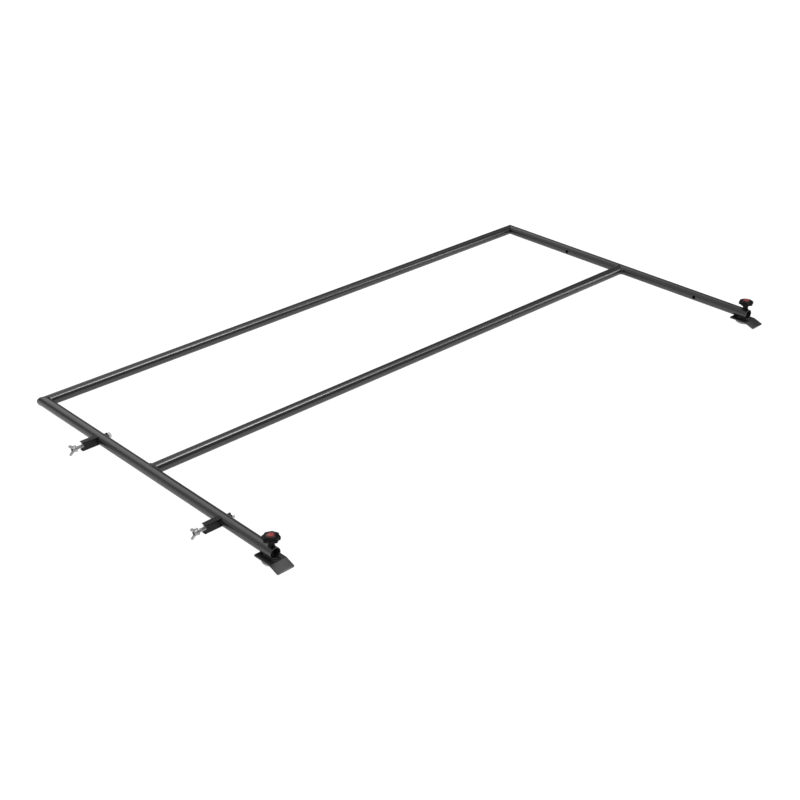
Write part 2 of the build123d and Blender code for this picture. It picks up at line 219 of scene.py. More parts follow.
def rounded(corners, closed=False, steps=5):
    """A polyline whose corners, given as (x, y, radius), are rounded off."""
    line = []
    count = len(corners)
    for i, (x, y, radius) in enumerate(corners):
        here = np.array((x, y), float)
        if radius == 0 or (not closed and i in (0, count - 1)):
            line.append(here)
            continue
        before = np.array(corners[i - 1][:2], float) - here
        after = np.array(corners[(i + 1) % count][:2], float) - here
        shorter = min(np.linalg.norm(before), np.linalg.norm(after))
        before /= np.linalg.norm(before)
        after /= np.linalg.norm(after)
        half = math.acos(np.clip(before @ after, -1, 1)) / 2
        reach = min(radius / math.tan(half), 0.49 * shorter)
        centre_gap = reach / math.cos(half)
        bisector = (before + after) / np.linalg.norm(before + after)
        centre = here + bisector * centre_gap
        first, last = here + before * reach - centre, here + after * reach - centre
        span = math.acos(np.clip(first @ last / (first @ first), -1, 1))
        for t in np.linspace(0, 1, steps + 1):
            weight = np.array((math.sin((1 - t) * span), math.sin(t * span))) / math.sin(span)
            line.append(centre + weight[0] * first + weight[1] * last)
    return np.array(line)


def lathe(corners, closed=True, steps=5, count=ROUND):
    """A turned piece from rounded (r, z, radius) corners. closed is for a piece with a bore."""
    line = rounded(corners, closed, steps)
    rows = [loop(max(r, 0.0), z, count) for r, z in line]
    return skin(rows, wrap=closed, caps=False)


def quarter(radius, steps):
    """Insets and rises along a rounded edge, from its flat face to its upright one."""
    for turn in np.linspace(0, math.pi / 2, steps):
        yield radius * (1 - math.sin(turn)), radius * (1 - math.cos(turn))


def rounded_rectangle(half_x, half_y, corner, count=ROUND):
    """The distance from the centre to a rounded rectangle's outline, for each angle."""
    angles = turn_angles(count)
    c, s = np.abs(np.cos(angles)), np.abs(np.sin(angles))
    c, s = np.maximum(c, 1e-9), np.maximum(s, 1e-9)
    a, b = half_x - corner, half_y - corner
    on_side, on_top = half_x / c, half_y / s
    along = a * c + b * s
    on_corner = along + np.sqrt(np.maximum(along**2 - (a * a + b * b - corner**2), 0))
    radius = np.where(on_side * s <= b, on_side, on_corner)
    return np.where(on_top * c <= a, on_top, radius)


def hexagon(flats, count=ROUND):
    """The distance from the centre to a hexagon's outline, for each angle."""
    sector = math.tau / 6
    within = (turn_angles(count) + sector / 2) % sector - sector / 2
    return flats / 2 / np.cos(within)


def saddle(offset):
    """The height on the tube's surface at a sideways offset."""
    return np.sqrt(np.maximum((TUBE_R + FIT_GAP) ** 2 - np.asarray(offset) ** 2, 0))


def scratch(bm):
    """A temporary object that holds a mesh in its own millimetres."""
    mesh = bpy.data.meshes.new("scratch")
    bm.to_mesh(mesh)
    bm.free()
    obj = bpy.data.objects.new("scratch", mesh)
    bpy.context.scene.collection.objects.link(obj)
    return obj


def settled(obj, *others):
    """The mesh that an object's modifiers make. The temporary objects are removed."""
    bpy.context.view_layer.update()
    evaluated = obj.evaluated_get(bpy.context.evaluated_depsgraph_get())
    bm = bmesh.new()
    bm.from_mesh(evaluated.to_mesh())
    evaluated.to_mesh_clear()
    for temporary in (obj, *others):
        mesh = temporary.data
        bpy.data.objects.remove(temporary)
        bpy.data.meshes.remove(mesh)
    return bm


def carved(bm, *cutters):
    """A mesh with other meshes cut out of it."""
    obj = scratch(bm)
    tools = [scratch(cutter) for cutter in cutters]
    for tool in tools:
        cut = obj.modifiers.new("cut", "BOOLEAN")
        cut.operation, cut.solver, cut.object = "DIFFERENCE", "EXACT", tool
    return settled(obj, *tools)


def drill(start, end, radius, count=48):
    """A round cutter between two points."""
    start, end = Vector(start), Vector(end)
    run = end - start
    bm = skin([loop(radius, 0, count), loop(radius, run.length, count)], wrap=False)
    turn = run.to_track_quat("Z", "Y").to_matrix().to_4x4()
    bmesh.ops.transform(bm, matrix=Matrix.Translation(start) @ turn, verts=bm.verts)
    return bm


def joined(*meshes):
    """Several meshes as one."""
    bm = bmesh.new()
    for part in meshes:
        mesh = bpy.data.meshes.new("part")
        part.to_mesh(mesh)
        part.free()
        bm.from_mesh(mesh)
        bpy.data.meshes.remove(mesh)
    return bm


def piece(name, bm, place, body, slot, replaced, sharp=38):
    """A finished piece: placed, shaded, painted with its slot's material and riding on its body."""
    bmesh.ops.transform(bm, matrix=place, verts=bm.verts)
    mesh = bpy.data.meshes.new(name)
    bm.to_mesh(mesh)
    bm.free()
    mesh.shade_smooth()
    mesh.set_sharp_from_angle(angle=math.radians(sharp))
    mesh.materials.append(MATERIALS[slot])
    obj = bpy.data.objects.new(name, mesh)
    bpy.context.scene.collection.objects.link(obj)
    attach(obj, body)
    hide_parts(replaced)
    return obj


# ---- Materials ---------------------------------------------------------------------------
class Nodes:
    """A node tree, with short ways to add, set and link its nodes."""

    def __init__(self, tree):
        self.tree = tree

    def link(self, value, socket):
        if isinstance(value, bpy.types.NodeSocket):
            self.tree.links.new(value, socket)
        else:
            socket.default_value = value

    def node(self, kind, **inputs):
        """A new shader node. An input's name has _ for each space."""
        node = self.tree.nodes.new("ShaderNode" + kind)
        for name, value in inputs.items():
            self.link(value, node.inputs[name.replace("_", " ")])
        return node

    def maths(self, operation, first, second):
        node = self.node("Math")
        node.operation = operation
        self.link(first, node.inputs[0])
        self.link(second, node.inputs[1])
        return node.outputs[0]

    def blend(self, amount, first, second):
        """The second shader over the first."""
        node = self.node("MixShader")
        for socket, value in zip(node.inputs, (amount, first, second)):
            self.link(value, socket)
        return node.outputs[0]


def rgba(colour):
    """A colour with its alpha. A single number is a grey."""
    return (*(colour if hasattr(colour, "__len__") else (colour,) * 3), 1)


def shade(colour, factor):
    """A lighter or darker colour."""
    return [min(channel * factor, 1) for channel in colour]


class Finish(Nodes):
    """A procedural material on the Principled shader, with noise in the piece's own metres."""

    def __init__(self, name, metallic=0.0):
        self.material = bpy.data.materials.new(name)
        self.material.use_nodes = True
        super().__init__(self.material.node_tree)
        self.shader = self.tree.nodes["Principled BSDF"]
        self.shader.inputs["Metallic"].default_value = metallic
        self.coords = self.node("TexCoord").outputs["Object"]

    def noise(self, scale, detail=2.0, roughness=0.5, stretch=(1, 1, 1)):
        """Noise whose features are about 1/scale metres across, stretched along an axis."""
        place = self.node("Mapping", Vector=self.coords, Scale=stretch).outputs["Vector"]
        node = self.node("TexNoise", Vector=place, Scale=scale, Detail=detail, Roughness=roughness)
        return node.outputs["Fac"]

    def crystals(self, scale):
        """A random colour for each cell of a scatter."""
        return self.node("TexVoronoi", Vector=self.coords, Scale=scale).outputs["Color"]

    def ramp(self, value, *stops):
        """Colours or greys at positions along a value."""
        node = self.node("ValToRGB", Fac=value)
        elements = node.color_ramp.elements
        while len(elements) < len(stops):
            elements.new(0.5)
        for element, (position, colour) in zip(elements, stops):
            element.position, element.color = position, rgba(colour)
        return node.outputs["Color"]

    def mixed(self, amount, first, second):
        """Two colours mixed. The second is a plain colour or another node's."""
        node = self.node("Mix")
        node.data_type = "RGBA"
        plain = not isinstance(second, bpy.types.NodeSocket)
        self.link(amount, node.inputs["Factor"])
        self.link(first, node.inputs[6])
        self.link(rgba(second) if plain else second, node.inputs[7])
        return node.outputs[2]

    def wear_and_shade(self):
        """The pieces' own vertex layer: rubbed edges, painted shade in thread roots and bores, or
        the cap's brighter centre, partly a painted highlight.
        """
        node = self.node("Attribute")
        node.attribute_name = "wear_and_shade"
        return node.outputs["Fac"]

    def bumps(self, *layers):
        """Heights, each with its depth in metres, summed on the normal."""
        normal = None
        for height, depth in layers:
            node = self.node("Bump", Distance=depth, Height=height)
            if normal is not None:
                self.link(normal, node.inputs["Normal"])
            normal = node.outputs["Normal"]
        self.link(normal, self.shader.inputs["Normal"])

    def surface(self, colour, roughness, **settings):
        self.link(colour, self.shader.inputs["Base Color"])
        self.link(roughness, self.shader.inputs["Roughness"])
        for name, value in settings.items():
            self.shader.inputs[name.replace("_", " ")].default_value = value
        return self.material


def powder_coat(name, tone, gloss=0.3, peel=0.00003):
    """Satin powder coat: orange peel, fine grain, faint mottling, and rubbed edges."""
    f = Finish(name)
    cloud = f.noise(14, 4, 0.6)
    grain = f.noise(2600, 1)
    base = f.ramp(cloud, (0.3, shade(tone, 0.86)), (0.7, shade(tone, 1.14)))
    speck = f.ramp(grain, (0.55, 0.0), (0.75, 0.22))
    colour = f.mixed(speck, base, shade(tone, 1.9))
    patches = f.ramp(f.noise(260, 3, 0.65), (0.42, 0.0), (0.72, 0.55))
    colour = f.mixed(f.maths("MULTIPLY", f.wear_and_shade(), patches), colour, shade(tone, 3.2))
    smudge = f.noise(45, 5, 0.62)
    rough = f.ramp(smudge, (0.3, gloss - 0.035), (0.72, gloss + 0.06))
    f.bumps((f.noise(420, 2, 0.45), peel), (grain, peel * 0.22))
    return f.surface(colour, rough, Specular_IOR_Level=0.7)


def moulded(name, tone, gloss=0.42, grain_depth=0.00002, shine=0.25):
    """Black moulded plastic: spark-eroded texture, flow marks and polished high spots."""
    f = Finish(name)
    flow = f.noise(60, 3, 0.55, stretch=(1, 1, 2.2))
    base = f.ramp(flow, (0.3, shade(tone, 0.8)), (0.75, shade(tone, 1.25)))
    patches = f.ramp(f.noise(330, 3, 0.6), (0.4, 0.0), (0.75, 0.5))
    colour = f.mixed(f.maths("MULTIPLY", f.wear_and_shade(), patches), base, shade(tone, 2.6))
    rough = f.ramp(f.noise(140, 4, 0.6), (0.3, gloss - 0.08), (0.72, gloss + 0.08))
    f.bumps((f.noise(1500, 2, 0.6), grain_depth), (f.noise(90, 2), grain_depth * 2))
    return f.surface(colour, rough, Specular_IOR_Level=shine)


def gloss_plastic(name, rim, centre):
    """Glossy coloured plastic: a darker rim and a brighter centre, partly painted shade and a
    painted highlight, with sink marks and hairline scuffs.
    """
    f = Finish(name)
    cloud = f.noise(110, 3)
    # Painted light in part: the rim's darker red stands in for shade falling off over the dome, and
    # the centre's brighter red partly for a highlight.
    rim_red_and_shade = f.ramp(cloud, (0.3, shade(rim, 0.82)), (0.72, shade(rim, 1.15)))
    centre_red_and_highlight = f.ramp(cloud, (0.3, shade(centre, 0.85)), (0.72, shade(centre, 1.12)))
    scuffs = f.noise(900, 4, 0.7, stretch=(1, 0.12, 1))
    rough = f.ramp(scuffs, (0.35, 0.14), (0.75, 0.3))
    f.bumps((f.noise(70, 2), 0.00003), (scuffs, 0.000003))
    return f.surface(f.mixed(f.wear_and_shade(), rim_red_and_shade, centre_red_and_highlight), rough, Specular_IOR_Level=0.35)


def zinc(name, tone, gloss=0.3, pits=0.000008, metallic=1.0):
    """Zinc plate: crystal mottling, brushed scratches, dull patches, and painted shade darkening
    the thread roots and bores.
    """
    f = Finish(name, metallic)
    grey, warm, cold = [tone] * 3, (tone, tone * 0.985, tone * 0.95), (0.8, 0.84, 0.9)
    cloud = f.noise(150, 4, 0.6)
    base = f.ramp(cloud, (0.28, shade(warm, 0.72)), (0.5, grey), (0.74, shade(grey, 1.1)))
    crystals = f.ramp(f.crystals(1100), (0.2, 0.0), (0.9, 0.25))
    colour = f.mixed(crystals, base, shade(cold, tone))
    # Painted shade: thread roots and bores, marked in the vertex layer, are darkened in the colour.
    painted_recess_shade = f.maths("MULTIPLY", f.wear_and_shade(), f.ramp(f.noise(500, 2), (0.3, 0.75), (0.7, 0.95)))
    colour = f.mixed(painted_recess_shade, colour, shade(warm, 0.1))
    scratches = f.noise(1800, 3, 0.7, stretch=(1, 1, 0.08))
    rough = f.ramp(scratches, (0.3, gloss - 0.07), (0.72, gloss + 0.13))
    f.bumps((f.noise(700, 3, 0.6), pits), (scratches, pits * 0.3))
    return f.surface(colour, rough)


def rubber(name, tone):
    """Matt black rubber with a fine grain and a dusty bloom."""
    f = Finish(name)
    bloom = f.noise(75, 5, 0.65)
    base = f.ramp(bloom, (0.35, tone * 0.8), (0.8, shade((1.9, 1.85, 1.7), tone)))
    rough = f.ramp(f.noise(300, 3), (0.3, 0.62), (0.75, 0.82))
    f.bumps((f.noise(1300, 3, 0.6), 0.00003))
    return f.surface(base, rough)


def brass(name):
    """Machined brass with turning marks."""
    f = Finish(name, metallic=1.0)
    base = f.ramp(f.noise(220, 3), (0.3, (0.55, 0.38, 0.16)), (0.72, (0.8, 0.6, 0.3)))
    marks = f.noise(2600, 2, 0.6, stretch=(0.05, 0.05, 1))
    f.bumps((marks, 0.000006))
    return f.surface(base, f.ramp(marks, (0.3, 0.2), (0.75, 0.38)))


MATERIALS = {
    "frame": powder_coat("frame_coat", (0.0118, 0.012, 0.0124), gloss=0.22),
    "weld": powder_coat("weld_coat", (0.0115, 0.0117, 0.012), gloss=0.28, peel=0.00002),
    "foot_plate": powder_coat("foot_coat", (0.008, 0.008, 0.0082), gloss=0.3, peel=0.00003),
    "clamp_disc": zinc("disc_zinc", 0.3, gloss=0.5, pits=0.00002, metallic=0.2),
    # Painted shade: the clamp bolt is near black so that it reads dark inside the tube's open end.
    "clamp_bolt": zinc("bolt_painted_shade", 0.03, gloss=0.4, metallic=0.5),
    "saddle": rubber("saddle_rubber", 0.012),
    "knob": moulded("knob_plastic", (0.002, 0.002, 0.0022), gloss=0.34, shine=0.1),
    "insert": brass("insert_brass"),
    # The cap's darker rim red is partly painted shade, and its brighter centre red partly a painted
    # highlight.
    "cap": gloss_plastic("cap_plastic", (0.045, 0.007, 0.007), (0.26, 0.036, 0.034)),
    "knob_washer": moulded("washer_nylon", (0.002, 0.002, 0.0022), gloss=0.5, shine=0.1),
    "standoff": moulded("standoff_plastic", (0.006, 0.006, 0.0063), gloss=0.36),
    "stud": zinc("stud_zinc", 0.62, gloss=0.34, metallic=0.75),
    "washer": zinc("washer_zinc", 0.45, gloss=0.28, metallic=0.85),
    "wing_nut": zinc("wing_zinc", 0.42, gloss=0.34, pits=0.00003, metallic=0.85),
    "nut": zinc("nut_zinc", 0.42, gloss=0.2, metallic=1.0),
    "pad": moulded("pad_plastic", (0.006, 0.006, 0.0063), gloss=0.42),
}


# ---- Frame tubes and weld beads ----------------------------------------------------------
def tube_mesh(start, end, open_end=False):
    """A tube along local z. start and end give each end's place for a sideways x and a height y."""
    angles = turn_angles()
    rows, wear_and_shade = [], []

    def add(radius, ends, shift=0.0, wear=0.0):
        x, y = radius * np.cos(angles), radius * np.sin(angles)
        rows.append(np.stack([x, y, ends(x, y) + shift], 1))
        wear_and_shade.append(wear)

    inner, rim = TUBE_R - TUBE_WALL, 0.7
    add(inner, start)
    if open_end:
        corners = ((inner, -2 * rim, 0), (inner, 0, rim), (TUBE_R, 0, rim), (TUBE_R, -2 * rim, 0))
        for radius, shift in rounded(corners, steps=4):
            add(radius, end, shift, 1.0 if shift > -1.5 * rim else 0.0)
    else:
        add(inner, end)
        add(TUBE_R, end)
    add(TUBE_R, start)
    return skin(rows, wrap=True, wear_and_shade=wear_and_shade)


def rail_mesh(side):
    """A side tube: mitred at the rear, open at the other end, with its holes drilled."""
    way, beyond = INWARDS[side], 2 * TUBE_R
    tube = tube_mesh(lambda x, y: way * x, lambda x, y: RAIL_END + 0 * x, open_end=True)
    radius = RAIL_HOLE_R if side == "right" else STUD_HOLE_R
    cutters = []
    for place in PLACES:
        setback = (REAR_Y - STUD_Y[place]) / MM
        cutters.append(drill((-beyond, 0, setback), (beyond, 0, setback), radius))
    clamp = (REAR_Y - CLAMP_Y) / MM
    cutters.append(drill((0, -beyond, clamp), (0, beyond, clamp), BOLT_HOLE_R))
    return carved(tube, *cutters)


def bead_mesh(seam, first_tube, second_tube, half_width=2.7, steps=420):
    """A rippled weld bead along a seam between two tubes, which are given by their axes."""
    crown, least_crown, ripple_pitch, ripple_height, root_depth = 0.75, 0.8, 1.9, 0.28, 0.7
    points = np.array([seam(angle) for angle in turn_angles(steps)])
    ahead, behind = np.roll(points, -1, 0), np.roll(points, 1, 0)
    tangents = ahead - behind
    tangents /= np.linalg.norm(tangents, axis=1)[:, None]
    travelled = np.cumsum(np.linalg.norm(ahead - points, axis=1))
    ripple_count = round(travelled[-1] / ripple_pitch)

    def outward(place, axis):
        """The way out from a tube's axis, and the distance outside its surface."""
        off = place - np.outer(place @ axis, axis)
        distance = np.linalg.norm(off, axis=1)
        return off / distance[:, None], distance - TUBE_R

    up = outward(points, first_tube)[0] + outward(points, second_tube)[0]
    up -= tangents * np.sum(up * tangents, 1)[:, None]
    up /= np.linalg.norm(up, axis=1)[:, None]
    across = np.cross(tangents, up)
    across *= np.sign(np.sum(across * (second_tube - first_tube), 1))[:, None]

    def surface_height(offset):
        """How far above the seam the tube's surface lies, at an offset across the seam."""
        axis = first_tube if offset < 0 else second_tube
        height = np.zeros(steps)
        for _ in range(6):
            normal, gap = outward(points + across * offset + up * height[:, None], axis)
            height -= gap / np.maximum(np.sum(normal * up, 1), 0.3)
        return height

    edges = (surface_height(-half_width), surface_height(half_width))
    phase = travelled / travelled[-1] * ripple_count
    wander = 0.12 * np.sin(phase * 0.9) + 0.08 * np.sin(phase * 2.3 + 1)
    width = half_width * (1 + 0.07 * wander)
    sheets = []
    for share in np.sin(np.linspace(-1, 1, 15) * math.pi / 2):
        chord = edges[0] * (1 - share) / 2 + edges[1] * (1 + share) / 2
        rise = np.maximum(chord + crown, least_crown) - chord
        ripple = np.abs(np.sin(math.pi * (phase + 0.55 * share**2))) - 0.6
        dome = math.sqrt(max(1 - share**2, 0))
        height = chord + (rise + ripple_height * ripple + 0.12 * wander) * dome
        sheets.append(points + across * (share * width)[:, None] + up * height[:, None])
    for share in (0.9, 0.45, 0.02, -0.45, -0.9):
        height = surface_height(share * half_width) - root_depth
        sheets.append(points + across * share * half_width + up * height[:, None])
    return skin(np.stack(sheets, 1), wrap=True)


def corner_seam(side):
    way = INWARDS[side]
    return lambda a: (way * TUBE_R * math.cos(a), -TUBE_R * math.cos(a), TUBE_R * math.sin(a))


def tee_seam(side):
    way = INWARDS[side]
    soft = 0.12

    def seam(a):
        reach = math.sqrt(math.cos(a) ** 2 + soft**2)
        return (way * TUBE_R * reach, TUBE_R * math.cos(a), TUBE_R * math.sin(a))

    return seam


ALONG_X, ALONG_Y = np.array((1.0, 0, 0)), np.array((0, 1.0, 0))


def build_frame():
    rear = tube_mesh(lambda x, y: -x, lambda x, y: SPACING + x)
    piece("rear_tube", rear, along_bar(REAR_Y), "root", "frame", "crossbar_rear")
    front = tube_mesh(lambda x, y: saddle(y), lambda x, y: SPACING - saddle(y))
    piece("front_tube", front, along_bar(FRONT_BAR_Y), "root", "frame", "crossbar_front")
    for side in SIDES:
        rail = rail_mesh(side)
        piece(f"rail_tube_{side}", rail, along_rail(side), "root", "frame", f"rail_{side}", 30)
        axes = (ALONG_Y, INWARDS[side] * ALONG_X)
        corner = bead_mesh(corner_seam(side), *axes)
        place = placed((RAIL_X[side], REAR_Y, AXIS_Z))
        piece(f"corner_bead_{side}", corner, place, "root", "weld", f"weld_corner_{side}", 60)
        tee = bead_mesh(tee_seam(side), *axes, half_width=2.4)
        place = placed((RAIL_X[side], FRONT_BAR_Y, AXIS_Z))
        piece(f"tee_bead_{side}", tee, place, "root", "weld", f"weld_tee_{side}", 60)


# ---- Threads and fixings -----------------------------------------------------------------
def thread_mesh(low, high, crest, pitch, columns=32):
    """A metric thread along local z between two heights, with chamfered ends and its roots marked
    for painted shade.
    """
    root, chamfer, painted_recess_shade = crest - 0.55 * pitch, 0.3, 0.8
    profile = ((0.06, root), (0.44, crest), (0.56, crest), (0.94, root))
    turns = math.ceil((high - low) / pitch) + 2
    angles = turn_angles(columns)
    bm = bmesh.new()
    layer = bm.verts.layers.float.new("wear_and_shade")
    grid = []
    for turn in range(turns):
        for share, radius in profile:
            heights = low + (turn - 1 + share + np.arange(columns) / columns) * pitch
            from_end = np.minimum(heights - low, high - heights)
            radii = np.minimum(radius, np.maximum(from_end, 0) + root - chamfer)
            x, y = radii * np.cos(angles), radii * np.sin(angles)
            grid.append([bm.verts.new(point) for point in zip(x, y, heights)])
            for vert in grid[-1]:
                # Painted shade: the thread roots are marked to be darkened.
                vert[layer] = painted_recess_shade if radius == root else 0.0
    step, last = len(profile), columns - 1
    for k in range(len(grid) - 1):
        near, far = grid[k], grid[k + 1]
        for c in range(last):
            bm.faces.new((near[c], near[c + 1], far[c + 1], far[c]))
        if k + 1 + step < len(grid):
            bm.faces.new((near[last], grid[k + step][0], grid[k + 1 + step][0], far[last]))
    for height, way in ((low, -1), (high, 1)):
        geometry = bm.verts[:] + bm.edges[:] + bm.faces[:]
        plane = {"plane_co": (0, 0, height), "plane_no": (0, 0, way)}
        bmesh.ops.bisect_plane(bm, geom=geometry, clear_outer=True, **plane)
        open_edges = [edge for edge in bm.edges if edge.is_boundary]
        rim = [e for e in open_edges if all(abs(v.co.z - height) < 1e-4 for v in e.verts)]
        bmesh.ops.edgeloop_fill(bm, edges=rim)
    bmesh.ops.recalc_face_normals(bm, faces=bm.faces)
    return bm


def washer_mesh(low):
    """A stamped washer: rounded on one face and sharper on the other."""
    inner, outer, high = STUD_BORE_R, WASHER_R, low + WASHER_THICKNESS
    soft, crisp = WASHER_THICKNESS * 0.34, WASHER_THICKNESS * 0.12
    lower = ((inner, low, crisp), (outer, low, crisp))
    return lathe((*lower, (outer, high, soft), (inner, high, soft)))


def nut_mesh(low):
    """A hexagon nut with turned chamfers on both faces and in its bore, which is marked for painted
    shade.
    """
    outline, face = hexagon(NUT_FLATS), NUT_FLATS * 0.475
    fall = (outline - face) * math.tan(math.radians(30))
    high, bore, mouth, flare, edge = low + NUT_HEIGHT, STUD_BORE_R, STUD_BORE_R + 0.5, 0.4, 0.12
    rows = [
        loop(bore, low + flare), loop(mouth, low), loop(face, low),
        loop(outline * 0.985, low + fall), loop(outline, low + fall + edge),
        loop(outline, high - fall - edge), loop(outline * 0.985, high - fall),
        loop(face, high), loop(mouth, high), loop(bore, high - flare),
    ]
    # Painted shade: the bore and its mouths are marked to be darkened.
    return skin(rows, wear_and_shade=[1.0, 0.3, *[0.0] * 6, 0.3, 1.0])


def wing_mesh(way):
    """One cast wing: a pillow over the hull of a root circle and a tip circle."""
    tip_r = 3.6
    circles = ((4.6, 3.6, 3.4), (WING_REACH - WING_FACE - tip_r, 10.6, tip_r))
    angles = turn_angles(72)
    normals = np.stack([np.cos(angles), np.sin(angles)], 1)
    support = np.array([normals @ (z, y) + r for z, y, r in circles])
    chosen = support.argmax(0)
    centres = np.array([c[:2] for c in circles])[chosen]
    radii = np.array([c[2] for c in circles])[chosen]
    insets = (0.0, 0.12, 0.35, 0.7, 1.2, 2.0, 2.8)
    half_root, taper, edge = 1.7, 0.035, 1.2
    rows = []
    for layer, inset in [*((1, i) for i in insets[::-1]), *((-1, i) for i in insets[1:])]:
        outline = centres + normals * (radii - inset)[:, None]
        z, y = outline[:, 0], outline[:, 1]
        swell = math.sqrt(1 - (1 - min(inset / edge, 1)) ** 2)
        half = (half_root - taper * y) * swell
        rows.append(np.stack([layer * half, way * y, z], 1))
    return skin(rows, wrap=False)


def wing_nut_mesh():
    """A cast wing nut on its own axis, its seat at height 0 and its bore marked for painted shade.
    """
    hub_top, bore_r = 9.0, STUD_BORE_R
    flange = ((0, 0, 0), (7.5, 0, 0.35), (7.5, 1.4, 0.5))
    hub = (*flange, (7.0, 1.9, 0.5), (6.5, hub_top, 0.9), (0, hub_top, 0))
    obj = scratch(joined(lathe(hub, closed=False, count=64), wing_mesh(1), wing_mesh(-1)))
    remesh = obj.modifiers.new("cast", "REMESH")
    remesh.mode, remesh.voxel_size, remesh.use_smooth_shade = "VOXEL", 0.26, True
    smooth = obj.modifiers.new("soften", "SMOOTH")
    smooth.factor, smooth.iterations = 0.5, 5
    bore = drill((0, 0, -1), (0, 0, hub_top + 3), bore_r)
    flare = ((0, 8.3, 0), (bore_r, 8.3, 0), (bore_r + 1.2, 9.5, 0), (0, 9.5, 0))
    nut = carved(settled(obj), bore, lathe(flare, closed=False, count=48))
    # Painted shade: the bore is marked to be darkened.
    layer = nut.verts.layers.float.new("wear_and_shade")
    for vert in nut.verts:
        vert[layer] = 1.0 if vert.co.xy.length < bore_r + 0.1 else 0.0
    return nut


# ---- Clamp feet and knobs ----------------------------------------------------------------
def foot_mesh():
    """The bent foot plate about the clamp's axis. Local y is negative towards the lip."""
    low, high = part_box("foot_plate_left")
    half_thick, corner, edge = FOOT_THICKNESS / 2, 3.0, 0.55
    half_turn, sine, cosine = FOOT_ANGLE / 2, math.sin(FOOT_ANGLE), math.cos(FOOT_ANGLE)
    tangent = FOOT_BEND_RADIUS * math.tan(half_turn)
    rear = (high.y - CLAMP_Y) / MM
    front = (CLAMP_Y - low.y) / MM - half_thick * sine
    lip = FOOT_LIP - half_thick * math.tan(half_turn)
    bend_start = front - lip * cosine - tangent
    bend_length = FOOT_BEND_RADIUS * FOOT_ANGLE
    bend_end = rear + bend_start + bend_length
    total = bend_end + lip - tangent
    ends = [0.0, 0.08, 0.2, 0.36, 0.55, 0.9, 1.4, 2.0, 2.6, 3.0]
    bend = np.linspace(bend_end - bend_length, bend_end, 12)
    flats = [*np.linspace(5, bend[0] - 2, 8), *np.linspace(bend_end + 2, total - 5, 5)]
    rows, wear_and_shade = [], []
    for s in sorted([*ends, *(total - e for e in ends), *bend, *flats]):
        from_end = min(s, total - s)
        rounding = math.sqrt(max(corner**2 - max(corner - from_end, 0) ** 2, 0))
        wide = FOOT_WIDTH / 2 - corner + rounding
        half = half_thick - edge + math.sqrt(max(edge**2 - max(edge - from_end, 0) ** 2, 0))
        sides = ((wide, half, edge), (-wide, half, edge), (-wide, -half, edge), (wide, -half, edge))
        section = rounded(sides, closed=True, steps=4)
        angle = np.clip(s - rear - bend_start, 0, bend_length) / FOOT_BEND_RADIUS
        beyond = max(s - bend_end, 0)
        flat = min(s - rear, bend_start)
        along = flat + FOOT_BEND_RADIUS * math.sin(angle) + beyond * cosine
        drop = FOOT_BEND_RADIUS * (1 - math.cos(angle)) + beyond * sine
        x, t = section[:, 0], section[:, 1]
        y = -along - t * math.sin(angle)
        z = FOOT_TOP - half_thick - drop + t * math.cos(angle)
        rows.append(np.stack([x, y, z], 1))
        wear_and_shade.append(1.0 if from_end < 1.0 else 0.25)
    plate = skin(rows, wrap=False, wear_and_shade=wear_and_shade)
    return carved(plate, drill((0, 0, FOOT_TOP - 10), (0, 0, FOOT_TOP + 10), BOLT_HOLE_R))


def cradle_mesh(outline, base, side_round, below):
    """A pad between a flat face and the round tube. below: the flat face is under the tube."""
    way = 1 if below else -1
    count, hole_r = len(outline), BOLT_HOLE_R

    def touch(row):
        row[:, 2] = -way * saddle(row[:, 0])
        return row

    base_z = np.full(count, float(base))
    rows = [loop(hole_r, base_z, count), loop(outline - side_round, base_z, count)]
    for step in (0.3, 0.6, 1.0):
        turn = step * math.pi / 2
        inset, lift = side_round * (1 - math.sin(turn)), side_round * (1 - math.cos(turn))
        rows.append(loop(outline - inset, base_z + way * lift, count))
    edge = touch(loop(outline, 0.0, count))
    edge[:, 2] -= way * side_round * 0.6
    rows.append(edge)
    reach = outline - side_round * 0.5 - hole_r
    for share in (1.0, 0.9, 0.75, 0.6, 0.45, 0.3, 0.15, 0.0):
        rows.append(touch(loop(hole_r + reach * share, 0.0, count)))
    return skin(rows)


def disc_mesh():
    """The lower jaw: a turned disc with a soft lower edge, a face groove and a bolt hole."""
    low, high, hole = HEAD_TOP, HEAD_TOP + DISC_THICKNESS, THREAD_R + 0.3
    deep = low + 0.35
    groove = ((14.5, low, 0), (15.0, deep, 0.4), (15.9, deep, 0.4), (16.4, low, 0.3))
    edge = ((DISC_R, low, 3.0), (DISC_R, high, 1.0))
    return lathe(((hole, low, 0.3), *groove, *edge, (hole, high, 0.3)), steps=8)


def clamp_bolt_mesh():
    """A coach bolt, head down: a domed head, a square neck and a threaded shank."""
    ball = (HEAD_R**2 + HEAD_HEIGHT**2) / (2 * HEAD_HEIGHT)
    centre = HEAD_TOP - HEAD_HEIGHT + ball
    dome = [(r, centre - math.sqrt(ball**2 - r * r), 0) for r in np.linspace(0, HEAD_R - 0.3, 12)]
    edge = ((HEAD_R, HEAD_TOP - 0.35, 0.25), (HEAD_R, HEAD_TOP, 0.2), (0, HEAD_TOP, 0))
    head = lathe((*dome, *edge), closed=False)
    square = rounded_rectangle(NECK_HALF_WIDTH, NECK_HALF_WIDTH, 0.5)
    neck = ((square, -0.5), (square, 3.6), (np.minimum(square, 2.8), 4.0))
    rows = [loop(outline, HEAD_TOP + height) for outline, height in neck]
    shank = thread_mesh(HEAD_TOP + 3.5, BOLT_TOP, THREAD_R, BOLT_PITCH)
    return joined(head, skin(rows, wrap=False), shank)


